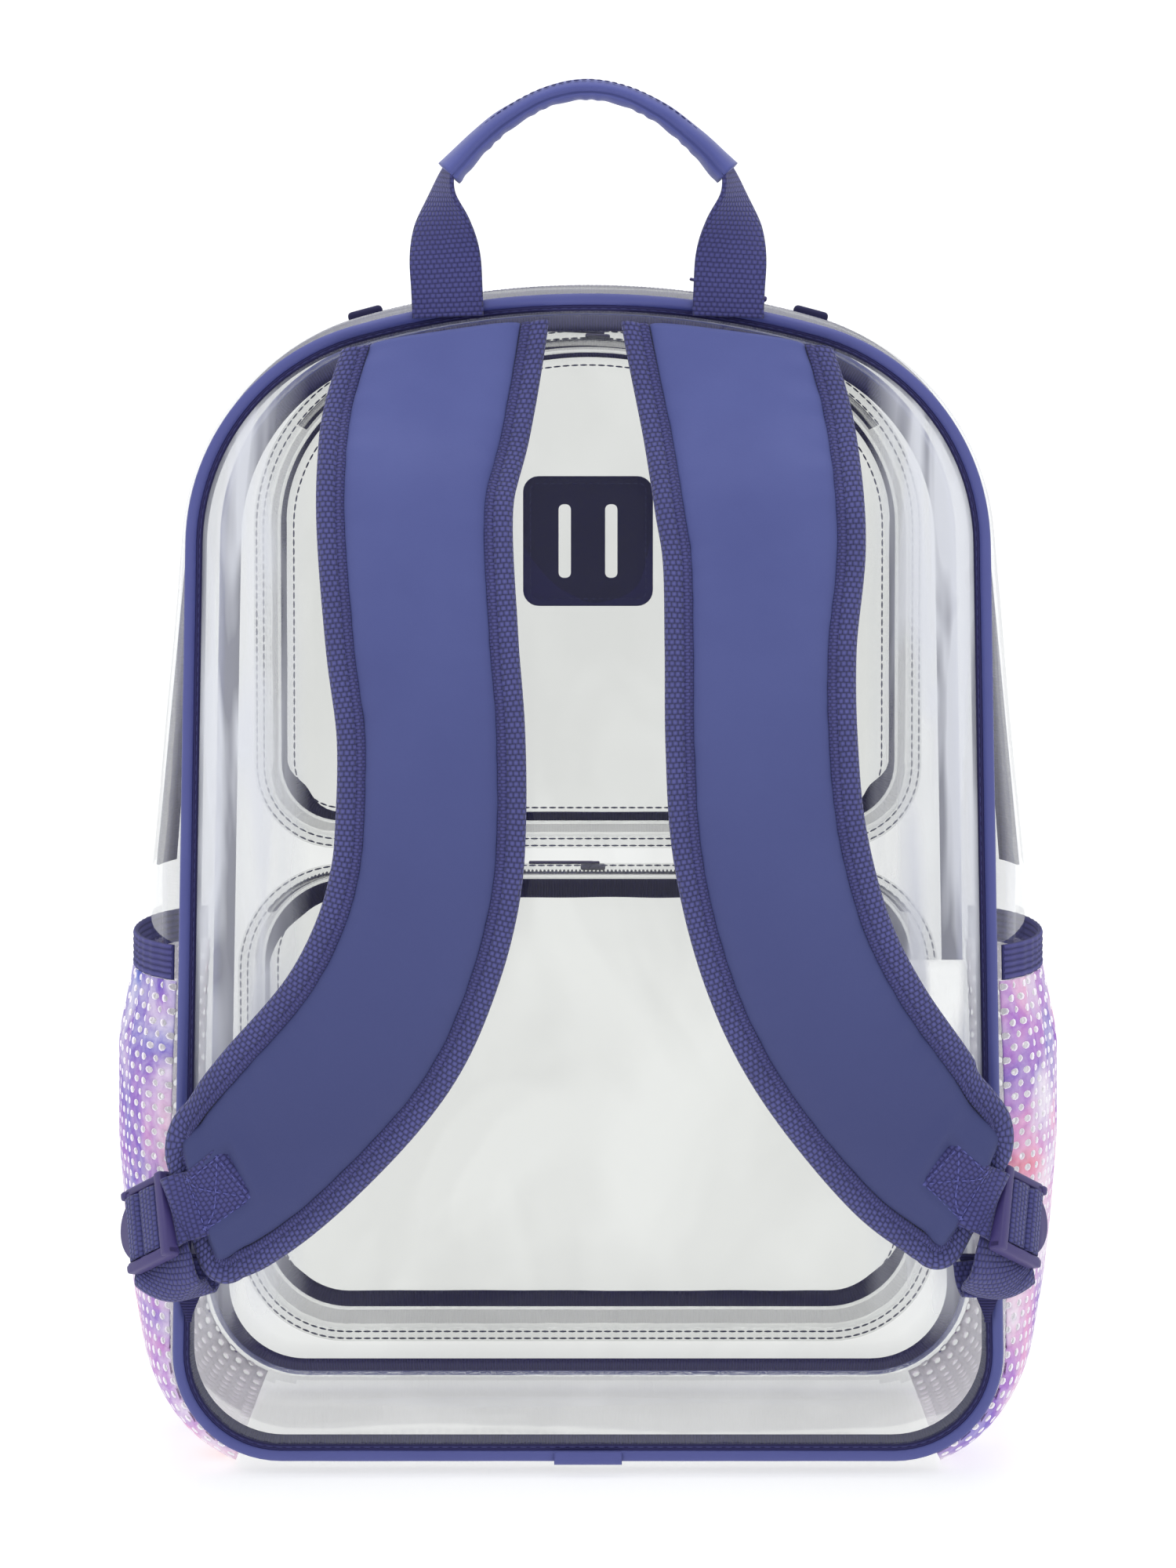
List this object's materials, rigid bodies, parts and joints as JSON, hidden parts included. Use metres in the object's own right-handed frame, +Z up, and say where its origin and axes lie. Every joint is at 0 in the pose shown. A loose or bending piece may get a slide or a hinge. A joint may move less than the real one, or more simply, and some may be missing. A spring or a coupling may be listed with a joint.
{
  "type": "backpack",
  "caption": "Clear backpack standing on its base, with padded arm straps, a padded grab handle, zipped front pockets and mesh side pockets.",
  "frame": {"origin": "middle of the flat base that the bag stands on", "axes": "+Z up; the panel with the arm straps faces -Y, the front pockets face +Y; +X is to the right as seen from the straps"},
  "size_m": [0.3584, 0.2247, 0.513],
  "materials": {
    "clear_sheet": "clear soft vinyl",
    "piping": "smooth coated piping",
    "seam_tape": "dark navy grosgrain",
    "zip_chain": "coil zip",
    "plastic": "moulded plastic",
    "patch": "smooth moulded patch",
    "label": "bare white tape",
    "printed_mesh": "perforated cloth, tie-dye print",
    "webbing": "woven webbing",
    "strap_fabric": "smooth padded cloth"
  },
  "bodies": {
    "root": {"back_panel": "clear_sheet", "back_piping": "piping", "back_seam_binding": "seam_tape", "buckle_left": "plastic", "buckle_right": "plastic", "care_label": "label", "corner_tab_left": "webbing", "corner_tab_right": "webbing", "front_panel": "clear_sheet", "front_piping": "piping", "front_seam_binding": "seam_tape", "gusset": "clear_sheet", "handle_sleeve": "strap_fabric", "handle_webbing_left": "webbing", "handle_webbing_right": "webbing", "lash_patch": "patch", "lower_pocket": "clear_sheet", "lower_pocket_binding": "seam_tape", "lower_pocket_slider": "plastic", "lower_pocket_zip": "seam_tape", "lower_webbing_left": "webbing", "lower_webbing_right": "webbing", "main_zip_chain": "zip_chain", "main_zip_slider": "plastic", "main_zip_tape": "seam_tape", "piping_joint": "piping", "pocket_elastic_left": "webbing", "pocket_elastic_right": "webbing", "side_pocket_left": "printed_mesh", "side_pocket_right": "printed_mesh", "strap_binding_left": "webbing", "strap_binding_right": "webbing", "strap_pad_left": "strap_fabric", "strap_pad_right": "strap_fabric", "strap_patch_left": "webbing", "strap_patch_right": "webbing", "upper_pocket": "clear_sheet", "upper_pocket_binding": "seam_tape", "upper_pocket_slider": "plastic", "upper_pocket_zip": "seam_tape", "zip_tab_left": "seam_tape", "zip_tab_right": "seam_tape"}
  },
  "joints": []
}
